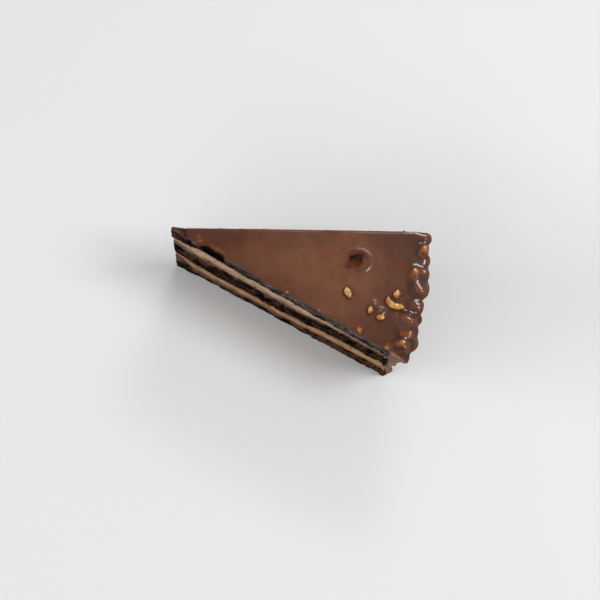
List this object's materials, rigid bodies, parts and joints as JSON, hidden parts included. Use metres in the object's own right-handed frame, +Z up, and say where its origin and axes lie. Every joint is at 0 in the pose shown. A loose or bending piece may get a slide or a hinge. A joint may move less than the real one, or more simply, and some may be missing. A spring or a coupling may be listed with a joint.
{
  "type": "slice of chocolate hazelnut cake",
  "caption": "Wedge of round layer cake with dark sponge, hazelnut cream, a poured chocolate glaze over top and wall, and hazelnuts set in it.",
  "frame": {"origin": "middle of the slice's bounding box in plan, on the plane it stands on", "axes": "+X from the tip to the glazed outer wall along the middle of the slice, +Z up"},
  "size_m": [0.122, 0.061, 0.0731],
  "materials": {
    "sponge": "open dark crumb",
    "cream": "smooth hazelnut cream",
    "glaze": "set chocolate glaze, satin",
    "hazelnut": "roasted kernel under a thin film of glaze"
  },
  "bodies": {
    "root": {"sponge_base": "sponge", "cream_lower": "cream", "sponge_middle": "sponge", "cream_upper": "cream", "sponge_top": "sponge", "glaze": "glaze", "hazelnut_half": "hazelnut", "hazelnut_chip_1": "hazelnut", "hazelnut_chip_2": "hazelnut", "hazelnut_chip_3": "hazelnut", "hazelnut_chip_4": "hazelnut", "hazelnut_chip_5": "hazelnut", "hazelnut_rim_1": "hazelnut", "hazelnut_rim_2": "hazelnut", "hazelnut_rim_3": "hazelnut", "hazelnut_rim_4": "hazelnut"}
  },
  "joints": []
}
